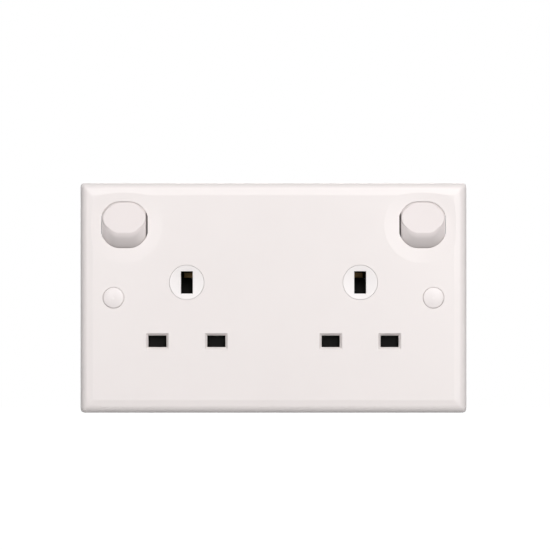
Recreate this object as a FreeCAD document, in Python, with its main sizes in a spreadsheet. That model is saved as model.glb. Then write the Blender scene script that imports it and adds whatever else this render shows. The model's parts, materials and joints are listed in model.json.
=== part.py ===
import FreeCAD, Part
import math
import os
import re

import Sketcher
from FreeCAD import Vector

# UK twin switched socket outlet, in millimetres.
# X runs to the right, Z up, and Y into the wall: the wall plane is Y = 0 and the face looks along -Y.
# Heights are given from the wall plane towards the room, so a height of 8.5 is Y = -8.5.

doc = FreeCAD.newDocument("twin_socket")

# Driving sizes
sizes = [
    # faceplate
    ("plate_width", 146.0),
    ("plate_height", 87.0),
    ("plate_depth", 8.5),
    ("plate_corner", 2.0),
    ("edge_round", 3.1),
    ("edge_width", 4.9),
    ("edge_slope", 8.0),
    ("face_wall", 2.5),
    ("skirt_wall", 2.5),
    ("rib_wall", 1.2),
    ("rib_reach", 3.5),
    # fixing holes and their caps
    ("fixing_pitch", 120.6),
    ("fixing_hole", 4.2),
    ("fixing_boss", 10.6),
    ("head_room", 7.2),
    ("head_seat", 3.0),
    ("cap_width", 8.0),
    ("cap_height", 3.0),
    ("cap_proud", 0.6),
    ("cap_round", 0.6),
    ("cap_wall", 1.1),
    ("cap_gap", 0.06),
    # pin apertures
    ("outlet_pitch", 65.4),
    ("pin_pitch", 22.23),
    ("earth_rise", 5.8),
    ("slot_wide", 6.85),
    ("slot_high", 4.4),
    ("slot_bevel", 0.85),
    ("slot_bevel_depth", 1.2),
    ("earth_wide", 4.5),
    ("earth_high", 8.45),
    ("insert_width", 13.0),
    ("insert_gap", 0.1),
    ("insert_sink", 0.2),
    ("insert_dish", 0.45),
    # rockers
    ("rocker_pitch", 112.4),
    ("rocker_rise", 27.5),
    ("rocker_wide", 16.9),
    ("rocker_high", 16.2),
    ("rocker_crown", 3.5),
    ("rocker_side", 5.0),
    ("rocker_gap", 0.3),
    ("rocker_tilt", 14.2),
    ("face_wide", 16.0),
    ("face_high", 11.4),
    ("rocker_skirt", 4.5),
    ("rocker_edge", 0.2),
    ("pivot_depth", 8.5),
    ("dish_width", 29.0),
    ("dish_depth", 0.45),
    ("stem_wide", 9.0),
    ("stem_high", 5.8),
    ("stem_tail", 3.5),
    ("trunnion_width", 3.0),
    ("trunnion_reach", 1.7),
    ("trunnion_gap", 0.05),
    # plunger and see-saw blade
    ("plunger_width", 3.2),
    ("plunger_gap", 0.15),
    ("plunger_tip", 8.6),
    ("plunger_long", 7.6),
    ("bore_top", 6.0),
    ("spring_wire", 0.5),
    ("blade_long", 15.0),
    ("blade_wide", 6.0),
    ("blade_bend", 15.0),
    ("blade_tilt", 7.0),
    ("blade_gap", 0.1),
    ("cradle_high", 0.4),
    ("knuckle", 0.8),
    ("contact_reach", 6.0),
    ("tip_wide", 2.6),
    ("tip_high", 0.6),
    # shutters and their carriers
    ("carrier_wide", 40.0),
    ("carrier_top", 14.0),
    ("carrier_low", 28.0),
    ("carrier_wall", 1.6),
    ("carrier_rail", 1.2),
    ("shutter_wall", 2.2),
    ("shutter_travel", 6.0),
    ("shutter_lap", 1.0),
    ("shutter_bar", 4.0),
    ("slide_gap", 0.3),
    ("ramp_wide", 6.4),
    ("ramp_thick", 3.2),
    ("coil_width", 4.0),
    ("coil_long", 13.4),
    ("coil_turns", 6.0),
    # brass strips, clips and terminals
    ("pin_length", 17.7),
    ("earth_length", 22.7),
    ("pin_room", 1.0),
    ("contact_depth", 11.2),
    ("earth_clip_drop", 3.9),
    ("strip_wall", 0.8),
    ("strip_wide", 5.0),
    ("strip_gap", 0.15),
    ("pocket_gap", 0.3),
    ("clip_grip", 3.4),
    ("clip_mouth", 5.4),
    ("clip_wide", 6.4),
    ("earth_clip_high", 8.0),
    ("lane_offset", 8.2),
    ("bus_drop", 8.6),
    ("bar_lift", 4.2),
    ("bar_wide", 4.0),
    ("cage_clear", 2.5),
    ("cage_wide", 8.0),
    ("cage_deep", 8.0),
    ("cage_long", 9.0),
    ("cage_wall", 1.2),
    ("screw_width", 3.8),
    ("screw_head", 4.8),
    # rear base
    ("base_wall", 1.8),
    ("base_floor", 2.5),
    ("base_round", 1.5),
    ("wire_way", 5.2),
    ("bearing_wall", 1.55),
    ("holding_screw", 3.0),
    ("holding_head", 5.8),
    ("holding_boss", 7.2),
    ("ear_wall", 4.0),
    ("ear_offset", 4.2),
    ("ear_drop", 21.0),
    ("upper_screw_out", 37.0),
    ("upper_screw_rise", 25.0),
]

sheet = doc.addObject("Spreadsheet::Sheet", "dims")
for row, (alias, number) in enumerate(sizes, start=1):
    sheet.set(f"A{row}", alias)
    sheet.set(f"B{row}", str(number))
    sheet.setAlias(f"B{row}", alias)
doc.recompute()
aliases = {alias for alias, number in sizes}


def cells(text):
    """The expression with each alias written as a cell of the sheet."""
    return re.sub(r"[a-z_]+", lambda word: "dims." + word[0] if word[0] in aliases else word[0],
        str(text))


def value(text):
    """What an expression comes to with the sheet's present sizes."""
    return float(sheet.evalExpression(cells(text)))


def bind(thing, prop, text):
    thing.setExpression(prop, cells(text))


# Sketch and feature helpers
pieces = []


def new_body(label, own_file=True):
    body = doc.addObject("PartDesign::Body", label)
    body.Label = label
    if own_file:
        pieces.append(body)
    return body


def place(thing, right="0", up="0", height="0"):
    """Set a piece's own origin, given across, up and towards the room."""
    bind(thing, "Placement.Base.x", right)
    bind(thing, "Placement.Base.y", f"-({height})")
    bind(thing, "Placement.Base.z", up)


def new_sketch(body, plane, name, lift="0", right="0", up="0"):
    """A sketch on one of the body's own planes, moved within the plane and along its normal."""
    origin_plane = next(item for item in body.Origin.OriginFeatures if item.Role == plane)
    sketch = body.newObject("Sketcher::SketchObject", name)
    sketch.AttachmentSupport = [(origin_plane, "")]
    sketch.MapMode = "FlatFace"
    bind(sketch, "AttachmentOffset.Base.x", right)
    bind(sketch, "AttachmentOffset.Base.y", up)
    bind(sketch, "AttachmentOffset.Base.z", lift)
    return sketch


def hold(sketch, constraint, text):
    """Add a constraint whose value follows an expression."""
    number = sketch.addConstraint(constraint)
    bind(sketch, f"Constraints[{number}]", text)


def hold_point(sketch, point, across, along):
    hold(sketch, Sketcher.Constraint("DistanceX", -1, 1, *point, value(across)), across)
    hold(sketch, Sketcher.Constraint("DistanceY", -1, 1, *point, value(along)), along)


def add_arc(sketch, start, finish, radius, turn):
    """An arc between two points; turn is 1 when it bends to the left and -1 to the right."""
    size = value(radius)
    chord = finish - start
    left = Vector(-chord.y, chord.x, 0).normalize()
    reach = math.sqrt(max(size ** 2 - chord.Length ** 2 / 4, 0))
    centre = (start + finish) * 0.5 + left * reach * turn
    ring = Part.Circle(centre, Vector(0, 0, 1), size)
    first, last = (start, finish) if turn > 0 else (finish, start)
    arc = sketch.addGeometry(Part.ArcOfCircle(ring, ring.parameter(first), ring.parameter(last)))
    hold(sketch, Sketcher.Constraint("Radius", arc, size), radius)
    return ((arc, 1), (arc, 2)) if turn > 0 else ((arc, 2), (arc, 1))


def outline(sketch, corners, arcs=None):
    """A closed outline through pairs of expressions; arcs gives radius and turn by starting corner."""
    arcs = arcs or {}
    points = [Vector(value(across), value(along), 0) for across, along in corners]
    sides = []
    for index, start in enumerate(points):
        finish = points[(index + 1) % len(points)]
        if index in arcs:
            sides.append(add_arc(sketch, start, finish, *arcs[index]))
        else:
            line = sketch.addGeometry(Part.LineSegment(start, finish))
            sides.append(((line, 1), (line, 2)))
    for index, (across, along) in enumerate(corners):
        sketch.addConstraint(Sketcher.Constraint("Coincident", *sides[index - 1][1], *sides[index][0]))
        hold_point(sketch, sides[index][0], across, along)


def disc(sketch, across, along, width):
    ring = Part.Circle(Vector(value(across), value(along), 0), Vector(0, 0, 1), value(width) / 2)
    number = sketch.addGeometry(ring)
    hold_point(sketch, (number, 3), across, along)
    hold(sketch, Sketcher.Constraint("Diameter", number, value(width)), width)


def span(left, right, low, high):
    return [(left, low), (right, low), (right, high), (left, high)]


def block(across, along, wide, high):
    """A rectangle about its centre."""
    return span(f"{across} - ({wide})/2", f"{across} + ({wide})/2", f"{along} - ({high})/2",
        f"{along} + ({high})/2")


def rounded(left, right, low, high, radius):
    """A rectangle with round corners: its corner points and its arcs."""
    corners = [
        (f"{left} + {radius}", low), (f"{right} - {radius}", low),
        (right, f"{low} + {radius}"), (right, f"{high} - {radius}"),
        (f"{right} - {radius}", high), (f"{left} + {radius}", high),
        (left, f"{high} - {radius}"), (left, f"{low} + {radius}"),
    ]
    return corners, {side: (radius, 1) for side in (1, 3, 5, 7)}


def feature(body, kind, name, sketch, **bound):
    made = body.newObject(f"PartDesign::{kind}", name)
    made.Profile = sketch
    for prop, text in bound.items():
        bind(made, prop, text)
    return made


def draw(body, plane, name, lift, shapes):
    """A sketch holding rectangles or outlines (lists of corners) and discs (three expressions)."""
    sketch = new_sketch(body, plane, name + "_sketch", lift)
    for shape in shapes:
        if isinstance(shape, tuple) and len(shape) == 3:
            disc(sketch, *shape)
        elif isinstance(shape, tuple):
            outline(sketch, *shape)
        else:
            outline(sketch, shape)
    return sketch


def add(body, name, low, high, *shapes, plane="XZ_Plane"):
    """Material between two levels along the plane's normal."""
    sketch = draw(body, plane, name, low, shapes)
    return feature(body, "Pad", name, sketch, Length=f"({high}) - ({low})")


def cut(body, name, low, high, *shapes, plane="XZ_Plane"):
    """A recess between two levels along the plane's normal."""
    sketch = draw(body, plane, name, high, shapes)
    return feature(body, "Pocket", name, sketch, Length=f"({high}) - ({low})")


def turned(body, kind, name, sketch, axis):
    made = feature(body, kind, name, sketch)
    made.ReferenceAxis = (sketch, [axis])
    made.Angle = 360
    return made


def round_edges(body, name, radius, wanted):
    """Round the edges that the test picks from the body's present shape."""
    doc.recompute()
    base = body.Tip
    picked = [f"Edge{number}" for number, edge in enumerate(base.Shape.Edges, start=1) if wanted(edge)]
    made = body.newObject("PartDesign::Fillet", name)
    made.Base = (base, picked)
    bind(made, "Radius", radius)
    return made


def level_edge(edge, height):
    """True for an edge that lies wholly at one height."""
    box = edge.BoundBox
    return abs(box.YMin + height) < 1e-4 and abs(box.YMax + height) < 1e-4


# Levels, as heights from the wall plane
inner_face = "(plate_depth - face_wall)"
cap_floor = "(plate_depth + cap_proud - cap_height)"
carrier_back = f"({inner_face} - carrier_wall)"
shutter_front = f"({carrier_back} - slide_gap)"
shutter_back = f"({shutter_front} - shutter_wall)"
deck = f"({shutter_back} - slide_gap)"
pivot = "(plate_depth - pivot_depth)"
clip_top = "(plate_depth - contact_depth)"
strip_front = "(plate_depth - pin_length - pin_room)"
strip_back = f"({strip_front} - strip_wall)"
earth_front = "(plate_depth - earth_length - pin_room)"
earth_back = f"({earth_front} - strip_wall)"
bar_front = f"({strip_front} + bar_lift)"
bar_back = f"({bar_front} - strip_wall)"
cage_front = f"({strip_front} + cage_wall)"
cage_back = f"({cage_front} - cage_deep)"
base_back = f"(min({cage_back}; {earth_back}) - base_floor)"
screw_seat = f"({deck} - ear_wall)"

# Places across and up the plate
half_width = "(plate_width/2)"
half_height = "(plate_height/2)"
fixing = "(fixing_pitch/2)"
outlet = "(outlet_pitch/2)"
bay = "(rocker_pitch/2)"
pins = "(earth_rise - pin_pitch)"
live_left = "(-outlet_pitch/2 + pin_pitch/2)"
live_right = "(outlet_pitch/2 + pin_pitch/2)"
neutral_left = "(-outlet_pitch/2 - pin_pitch/2)"
neutral_right = "(outlet_pitch/2 - pin_pitch/2)"
terminal = "((outlet_pitch - pin_pitch)/6)"
lane = "(earth_rise + lane_offset)"
bus = f"({pins} - bus_drop)"
bar = "(rocker_rise + contact_reach)"
bar_low = f"({bar} - bar_wide/2)"
cage_top = f"({bar_low} - cage_clear)"
cage_low = f"({cage_top} - cage_long)"
ear_out = f"({outlet} + carrier_wide/2 + ear_offset)"
sides = (("left", "-1"), ("right", "1"))


def drum(grow):
    """Half section of the rocker about its pivot line: straight crown, round shoulders, flat sides."""
    reach = f"(rocker_wide/2 + {grow})"
    crown = f"(sqrt(pivot_depth^2 + (rocker_high/2)^2) + {grow})"
    flat = "(rocker_crown/2)"
    flank = "(sqrt(pivot_depth^2 + (rocker_side/2)^2))"
    drop = f"({crown} - {flank})"
    shoulder = f"((({reach} - {flat})^2 + {drop}^2)/(2*{drop}))"
    corners = [
        (f"-{reach}", "0"), (reach, "0"), (reach, flank),
        (flat, crown), (f"-{flat}", crown), (f"-{reach}", flank),
    ]
    return corners, {2: (shoulder, 1), 4: (shoulder, 1)}


def oval(wide, high):
    """An ellipse-like outline of four arcs."""
    along, rise = f"({wide}*0.375)", f"({high}*0.3305)"
    brow = f"({high}*0.1695)"
    tip = f"({wide}*0.125)"
    long_arc = f"(({along}^2 + {brow}^2)/(2*{brow}))"
    short_arc = f"(({rise}^2 + {tip}^2)/(2*{tip}))"
    corners = [(along, f"-{rise}"), (along, rise), (f"-{along}", rise), (f"-{along}", f"-{rise}")]
    return corners, {0: (short_arc, 1), 1: (long_arc, 1), 2: (short_arc, 1), 3: (long_arc, 1)}


def bowl(body, name, right, up, front, wide, deep):
    """A shallow round dish sunk into a face."""
    sketch = new_sketch(body, "XY_Plane", name + "_sketch", up, right)
    radius = f"((({wide})^2/4 + {deep}^2)/(2*{deep}))"
    corners = [
        ("0", f"-({front} - {deep})"), (f"({wide})/2", f"-({front})"),
        (f"({wide})/2", f"-({front} + 1)"), ("0", f"-({front} + 1)"),
    ]
    outline(sketch, corners, {0: (radius, -1)})
    return turned(body, "Groove", name, sketch, "V_Axis")


# Faceplate
plate = new_body("faceplate")
edge_lip = "(edge_round*(1 - sin(edge_slope)))"
edge_top = f"(plate_depth - (edge_width - {edge_lip})*tan(edge_slope))"
edge_start = f"({edge_top} - edge_round*cos(edge_slope))"
skin = ("-" + half_width, half_width, "-" + half_height, half_height)
add(plate, "plate_blank", "0", "plate_depth", rounded(*skin, "plate_corner"))

ends = []
for sign in (1, -1):
    corners = [
        ("-plate_depth", f"{sign}*({half_height} - edge_width)"),
        (f"-{edge_top}", f"{sign}*({half_height} - {edge_lip})"),
        (f"-{edge_start}", f"{sign}*{half_height}"),
        (f"-{edge_start}", f"{sign}*({half_height} + 1)"),
        ("-plate_depth - 1", f"{sign}*({half_height} + 1)"),
        ("-plate_depth - 1", f"{sign}*({half_height} - edge_width)"),
    ]
    ends.append((corners, {1: ("edge_round", -sign)}))
cut(plate, "long_edges", f"-{half_width} - 1", f"{half_width} + 1", *ends, plane="YZ_Plane")

ends = []
for sign in (1, -1):
    corners = [
        (f"{sign}*({half_width} - edge_width)", "-plate_depth"),
        (f"{sign}*({half_width} - {edge_lip})", f"-{edge_top}"),
        (f"{sign}*{half_width}", f"-{edge_start}"),
        (f"{sign}*({half_width} + 1)", f"-{edge_start}"),
        (f"{sign}*({half_width} + 1)", "-plate_depth - 1"),
        (f"{sign}*({half_width} - edge_width)", "-plate_depth - 1"),
    ]
    ends.append((corners, {1: ("edge_round", sign)}))
cut(plate, "short_edges", f"-{half_height} - 1", f"{half_height} + 1", *ends, plane="XY_Plane")

inside = (f"-({half_width} - skirt_wall)", f"({half_width} - skirt_wall)",
          f"-({half_height} - skirt_wall)", f"({half_height} - skirt_wall)")
cut(plate, "hollow", "-1", inner_face, rounded(*inside, "plate_corner"))

# fixing bosses, holding bosses and stiffening ribs behind the face
add(plate, "fixing_bosses", "0", f"{inner_face} + 0.5",
    *[(f"{sign}*{fixing}", "0", "fixing_boss") for side, sign in sides])
holding = [(f"{sign}*{out}", rise) for side, sign in sides
           for out, rise in ((ear_out, "-ear_drop"), ("upper_screw_out", "upper_screw_rise"))]
add(plate, "holding_bosses", deck, f"{inner_face} + 0.5",
    *[(*point, "holding_boss") for point in holding])
cut(plate, "holding_pilots", f"{deck} - 1", f"{inner_face} - 0.6",
    *[(*point, "holding_screw - 0.1") for point in holding])
ribs = []
for sign in ("-1", "1"):
    for part in ("-0.21", "-0.07", "0.07", "0.21"):
        centre = f"{sign}*({half_height} - skirt_wall - rib_reach/2 + 0.25)"
        ribs.append(block(f"{part}*plate_width", centre, "rib_wall", "rib_reach + 0.5"))
    for part in ("-0.3", "-0.15", "0.15"):
        centre = f"{sign}*({half_width} - skirt_wall - rib_reach/2 + 0.25)"
        ribs.append(block(centre, f"{part}*plate_height", "rib_reach + 0.5", "rib_wall"))
add(plate, "ribs", f"{inner_face} - 3.5", f"{inner_face} + 0.5", *ribs)

# recess for each cap, seat for the screw head and the fixing hole
cap_bores = [(f"{sign}*{fixing}", "0") for side, sign in sides]
cut(plate, "cap_recess", cap_floor, "plate_depth + 1",
    *[(*point, "cap_width + 2*cap_gap") for point in cap_bores])
cut(plate, "head_recess", "head_seat", "plate_depth + 1", *[(*point, "head_room") for point in cap_bores])
cut(plate, "fixing_holes", "-1", "plate_depth + 1", *[(*point, "fixing_hole") for point in cap_bores])

# pin apertures with a sloping lead-in, and the round holes for the earth inserts
slots = [(place_x, pins) for place_x in (neutral_left, live_left, neutral_right, live_right)]
cut(plate, "pin_slots", f"{inner_face} - 1", "plate_depth + 1",
    *[block(*point, "slot_wide", "slot_high") for point in slots])
lead = cut(plate, "pin_lead_in", "plate_depth - slot_bevel_depth", "plate_depth",
           *[block(*point, "slot_wide + 2*slot_bevel", "slot_high + 2*slot_bevel") for point in slots])
bind(lead, "TaperAngle", "-atan(slot_bevel/slot_bevel_depth)")
cut(plate, "insert_holes", f"{inner_face} - 1", "plate_depth + 1",
    *[(f"{sign}*{outlet}", "earth_rise", "insert_width + 2*insert_gap") for side, sign in sides])

# a shallow dish round each rocker, then the rocker's own opening
for side, sign in sides:
    bowl(plate, f"rocker_dish_{side}", f"{sign}*{bay}", "rocker_rise", "plate_depth", "dish_width",
        "dish_depth")
    sketch = new_sketch(plate, "XZ_Plane", f"rocker_hole_{side}_sketch", pivot, f"{sign}*{bay}",
        "rocker_rise")
    outline(sketch, *drum("rocker_gap"))
    turned(plate, "Groove", f"rocker_hole_{side}", sketch, "H_Axis")

# Caps over the fixing screws
for side, sign in sides:
    cap = new_body(f"screw_cap_{side}")
    place(cap, f"{sign}*{fixing}", "0", cap_floor)
    dome = "(cap_height/6)"
    rim = f"(cap_height - {dome})"
    sketch = new_sketch(cap, "XY_Plane", "cap_section")
    corners = [
        ("0", "-(cap_height - cap_wall)"), ("cap_width/2 - cap_wall", "-(cap_height - cap_wall)"),
        ("cap_width/2 - cap_wall", "0"), ("cap_width/2", "0"), ("cap_width/2", f"-{rim}"),
        ("0", "-cap_height"),
    ]
    outline(sketch, corners, {4: (f"((cap_width^2/4 + {dome}^2)/(2*{dome}))", -1)})
    turned(cap, "Revolution", "cap_shell", sketch, "V_Axis")
    rim_height = value(rim)
    round_edges(cap, "cap_edge", "cap_round", lambda edge: level_edge(edge, rim_height))

# Rockers, drawn square to the wall about their pivot and then tipped to the off position
rocker_face = "(pivot_depth*cos(rocker_tilt) + rocker_high/2*sin(rocker_tilt))"
stem_top = f"({rocker_face} - 2)"
core_top = f"({rocker_face} - 2.7)"
for side, sign in sides:
    rocker = new_body(f"rocker_{side}")
    sketch = new_sketch(rocker, "XZ_Plane", "drum_section")
    outline(sketch, *drum("0"))
    turned(rocker, "Revolution", "drum", sketch, "H_Axis")
    around = block("0", "0", "2*rocker_wide", "2*rocker_high")
    cut(rocker, "face", rocker_face, "2*pivot_depth", around)
    cut(rocker, "underside", "-2*pivot_depth", "rocker_skirt", around)
    add(rocker, "face_pad", "rocker_skirt", rocker_face, oval("face_wide", "face_high"))
    face_height = value(rocker_face)
    round_edges(rocker, "face_edge", "rocker_edge", lambda edge: level_edge(edge, face_height))
    core = "(stem_high/2 + 0.8)"
    cut(rocker, "cores", "rocker_skirt - 1", core_top,
        *[block("0", f"{way}*({core} + 1.75)", "rocker_wide*0.6", "3.5") for way in ("-1", "1")])
    add(rocker, "stem", "-stem_tail", stem_top, block("0", "0", "stem_wide", "stem_high"))
    add(rocker, "trunnions", "-stem_wide/2 - trunnion_reach", "stem_wide/2 + trunnion_reach",
        ("0", "0", "trunnion_width"), plane="YZ_Plane")
    cut(rocker, "plunger_bore", "-stem_tail - 1", "bore_top", ("0", "0", "plunger_width + 2*plunger_gap"))

    plunger = new_body(f"plunger_{side}")
    sketch = new_sketch(plunger, "XY_Plane", "plunger_section")
    nose = "(plunger_width/2)"
    corners = [
        ("0", "plunger_tip - plunger_long"), (nose, "plunger_tip - plunger_long"),
        (nose, f"plunger_tip - {nose}"), ("0", "plunger_tip"),
    ]
    outline(sketch, corners, {2: (nose, 1)})
    turned(plunger, "Revolution", "plunger_pin", sketch, "V_Axis")

    coil = new_body(f"plunger_spring_{side}")
    coil_start = f"(plunger_tip - plunger_long - spring_wire*0.55)"
    sketch = new_sketch(coil, "XY_Plane", "coil_section")
    disc(sketch, "plunger_width/2 - spring_wire/2", coil_start, "spring_wire")
    helix = feature(coil, "AdditiveHelix", "coil", sketch, Turns="coil_turns - 1",
                    Height=f"bore_top + {coil_start} - spring_wire*0.55")
    helix.Mode = "height-turns-angle"
    helix.ReferenceAxis = (sketch, ["V_Axis"])
    helix.Reversed = True

    for piece in (rocker, plunger, coil):
        piece.Placement = FreeCAD.Placement(Vector(), FreeCAD.Rotation(Vector(1, 0, 0), -1))
        place(piece, f"{sign}*{bay}", "rocker_rise", pivot)
        bind(piece, "Placement.Rotation.Angle", "-rocker_tilt")

# Shutter carriers: a tray behind each outlet with the round earth insert standing through the face
for side, sign in sides:
    carrier = new_body(f"shutter_carrier_{side}")
    place(carrier, f"{sign}*{outlet}")
    add(carrier, "tray", deck, inner_face,
        span("-carrier_wide/2", "carrier_wide/2", "-carrier_low", "carrier_top"))
    cut(carrier, "tray_hollow", f"{deck} - 1", carrier_back,
        span("-carrier_wide/2 + carrier_rail", "carrier_wide/2 - carrier_rail",
             "-carrier_low + carrier_rail", "carrier_top - carrier_rail"))
    add(carrier, "insert", carrier_back, "plate_depth - insert_sink", ("0", "earth_rise", "insert_width"))
    bowl(carrier, "insert_dish", "0", "earth_rise", "plate_depth - insert_sink", "insert_width - 0.6",
        "insert_dish")
    cut(carrier, "earth_slot", f"{deck} - 1", "plate_depth + 1",
        block("0", "earth_rise", "earth_wide", "earth_high"))
    cut(carrier, "pin_windows", f"{deck} - 1", "plate_depth + 1",
        *[block(f"{way}*pin_pitch/2", pins, "slot_wide + 0.2", "slot_high + 0.2") for way in ("-1", "1")])

# Shutters: windows above the pads let the pins through once the earth pin has pushed the ramp down
window_low = f"({pins} - slot_high/2 + shutter_travel - slide_gap)"
window_high = f"({pins} + slot_high/2 + shutter_travel + slide_gap)"
shutter_low = f"({pins} - slot_high/2 - shutter_lap)"
shutter_high = f"({window_high} + shutter_bar)"
shutter_out = "(carrier_wide/2 - carrier_rail - slide_gap)"
ramp_foot = "(earth_rise - earth_high/2 - 0.2)"
ramp_run = "(shutter_travel + 0.3)"
coil_low = f"({window_high} - coil_long)"
coil_level = f"({carrier_back} - coil_width/2 - 0.2)"
for side, sign in sides:
    shutter = new_body(f"shutter_{side}")
    place(shutter, f"{sign}*{outlet}")
    add(shutter, "blank", shutter_back, shutter_front,
        span(f"-{shutter_out}", shutter_out, shutter_low, shutter_high))
    cut(shutter, "windows", f"{shutter_back} - 1", f"{shutter_front} + 1",
        *[span(f"{way}*pin_pitch/2 - slot_wide/2 - 0.5", f"{way}*pin_pitch/2 + slot_wide/2 + 0.5",
            window_low, window_high)
          for way in ("-1", "1")])
    cut(shutter, "spring_gap", f"{shutter_back} - 1", f"{shutter_front} + 1",
        span("-coil_width/2 - 0.6", "coil_width/2 + 0.6", f"{shutter_low} - 1", window_high))
    section = [
        (f"-{shutter_front}", f"{shutter_high} - 1"), (f"-{shutter_front}", ramp_foot),
        (f"-({shutter_front} - {ramp_run})", f"{ramp_foot} + {ramp_run}"),
        (f"-({shutter_front} - {ramp_run})", f"{ramp_foot} + {ramp_run} - ramp_thick"),
        (f"-{shutter_back}", f"{ramp_foot} + shutter_wall - ramp_thick"),
        (f"-{shutter_back}", f"{shutter_high} - 1"),
    ]
    add(shutter, "ramp", "-ramp_wide/2", "ramp_wide/2", section, plane="YZ_Plane")

    coil = new_body(f"shutter_spring_{side}")
    sketch = new_sketch(coil, "XZ_Plane", "coil_section")
    disc(sketch, "coil_width/2 - spring_wire/2", "spring_wire/2", "spring_wire")
    helix = feature(coil, "AdditiveHelix", "coil", sketch, Turns="coil_turns",
        Height="coil_long - spring_wire")
    helix.Mode = "height-turns-angle"
    helix.ReferenceAxis = (sketch, ["V_Axis"])
    place(coil, f"{sign}*{outlet}", coil_low, coil_level)


def clip(floor, back, mouth):
    """Section of a spring clip as (sideways, height) pairs: a floor and two leaves that pinch and flare."""
    foot = "clip_mouth/2"
    pinch = "clip_grip/2"
    nip = f"({floor} + 0.65*({mouth} - {floor}))"
    right = [
        (f"{foot} + strip_wall", back), (f"{pinch} + strip_wall", nip), (f"{foot} + strip_wall", mouth),
        (foot, mouth), (pinch, nip), (foot, floor),
    ]
    return right + [(f"-({across})", height) for across, height in reversed(right)]


def add_pin_clip(body, name, across):
    """A clip that takes a flat pin from above and below."""
    section = [(f"-({height})", f"{pins} + {aside}")
        for aside, height in clip(strip_front, strip_back, clip_top)]
    add(body, name, f"{across} - clip_wide/2", f"{across} + clip_wide/2", section, plane="YZ_Plane")


def riser(across, low, high):
    return span(f"{across} - strip_wide/2", f"{across} + strip_wide/2", low, high)


# Live contacts: clip, strip along the lane and the two ribs that cradle the see-saw blade
fulcrum_top = "(rocker_rise + 2)"
for (side, sign), live in zip(sides, (live_left, live_right)):
    contact = new_body(f"live_contact_{side}")
    out = f"({sign}*strip_wide/2)"
    end = f"({sign}*{bay})"
    strip = [
        (f"{live} - {out}", pins), (f"{live} + {out}", pins),
        (f"{live} + {out}", f"{lane} - strip_wide/2"),
        (f"{end} + {out}", f"{lane} - strip_wide/2"), (f"{end} + {out}", fulcrum_top),
        (f"{end} - {out}", fulcrum_top),
        (f"{end} - {out}", f"{lane} + strip_wide/2"), (f"{live} - {out}", f"{lane} + strip_wide/2"),
    ]
    add(contact, "strip", strip_back, strip_front, strip)
    add_pin_clip(contact, "clip", live)
    rib = (f"-({strip_front} + cradle_high)", f"-({strip_front} - 0.2)")
    add(contact, "cradle", f"{end} - strip_wide/2", f"{end} + strip_wide/2",
        span(*rib, "rocker_rise - knuckle - 0.8", "rocker_rise - knuckle + 0.2"),
        span(*rib, "rocker_rise + knuckle - 0.2", "rocker_rise + knuckle + 0.8"), plane="YZ_Plane")

# See-saw blades with a round knuckle underneath, drawn level about it and then tipped to the off position
for side, sign in sides:
    blade = new_body(f"switch_blade_{side}")
    arm = "(blade_long/2)"
    rise = f"({arm}*cos(blade_bend))"
    fore = f"({arm}*sin(blade_bend))"
    section = [
        ("0", "0"), (f"-{fore}", rise),
        (f"-({fore} + strip_wall*cos(blade_bend))", f"{rise} - strip_wall*sin(blade_bend)"),
        ("-strip_wall/cos(blade_bend)", "0"),
        (f"-({fore} + strip_wall*cos(blade_bend))", f"-{rise} + strip_wall*sin(blade_bend)"),
        (f"-{fore}", f"-{rise}"),
    ]
    add(blade, "blade", "-blade_wide/2", "blade_wide/2", section, plane="YZ_Plane")
    add(blade, "knuckle", "-blade_wide/2", "blade_wide/2", ("0", "0", "knuckle"), plane="YZ_Plane")
    button = []
    for along, behind in (("-0.5", "-0.2"), ("0.5", "-0.2"), ("0.5", "tip_high"), ("-0.5", "tip_high")):
        reach = f"(contact_reach + {along}*tip_wide)"
        button.append((f"({behind})*cos(blade_bend) - {reach}*sin(blade_bend)",
                       f"({behind})*sin(blade_bend) + {reach}*cos(blade_bend)"))
    add(blade, "button", "-tip_wide/2", "tip_wide/2", button, plane="YZ_Plane")
    blade.Placement = FreeCAD.Placement(Vector(), FreeCAD.Rotation(Vector(1, 0, 0), 1))
    place(blade, f"{sign}*{bay}", "rocker_rise", f"{strip_front} + cradle_high + blade_gap")
    bind(blade, "Placement.Rotation.Angle", "blade_tilt")

# Line bar: one strip along the top with a fixed contact behind each blade and a tab into the line terminal
line_bar = new_body("line_bar")
jog_in = f"({bay} - 10.5)"
jog_out = f"({bay} - 6)"
half_bar = [
    (jog_in, bar_front), (jog_out, strip_front), (f"({bay} + strip_wide/2)", strip_front),
    (f"({bay} + strip_wide/2)", strip_back), (f"({jog_out} - strip_wall/2)", strip_back),
    (f"({jog_in} - strip_wall/2)", bar_back),
]
section = [(across, f"-{height}") for across, height in half_bar]
section += [(f"-{across}", f"-{height}") for across, height in reversed(half_bar)]
add(line_bar, "bar", bar_low, f"{bar_low} + bar_wide", section, plane="XY_Plane")
add(line_bar, "fixed_contacts", f"{strip_front} - 0.2", f"{strip_front} + tip_high",
    *[(f"{sign}*{bay}", bar, "tip_wide") for side, sign in sides])
section = [
    (f"-{bar_front}", f"{bar_low} + 1"), (f"-{bar_front}", bar_low), (f"-{strip_front}", cage_top),
    (f"-{strip_front}", f"{cage_low} + 1"), (f"-{strip_back}", f"{cage_low} + 1"),
    (f"-{strip_back}", f"{cage_top} + 0.7"),
    (f"-{bar_back}", f"{bar_low} + 0.7"), (f"-{bar_back}", f"{bar_low} + 1"),
]
add(line_bar, "tab", f"-3*{terminal} - strip_wide/2", f"-3*{terminal} + strip_wide/2", section,
    plane="YZ_Plane")

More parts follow.
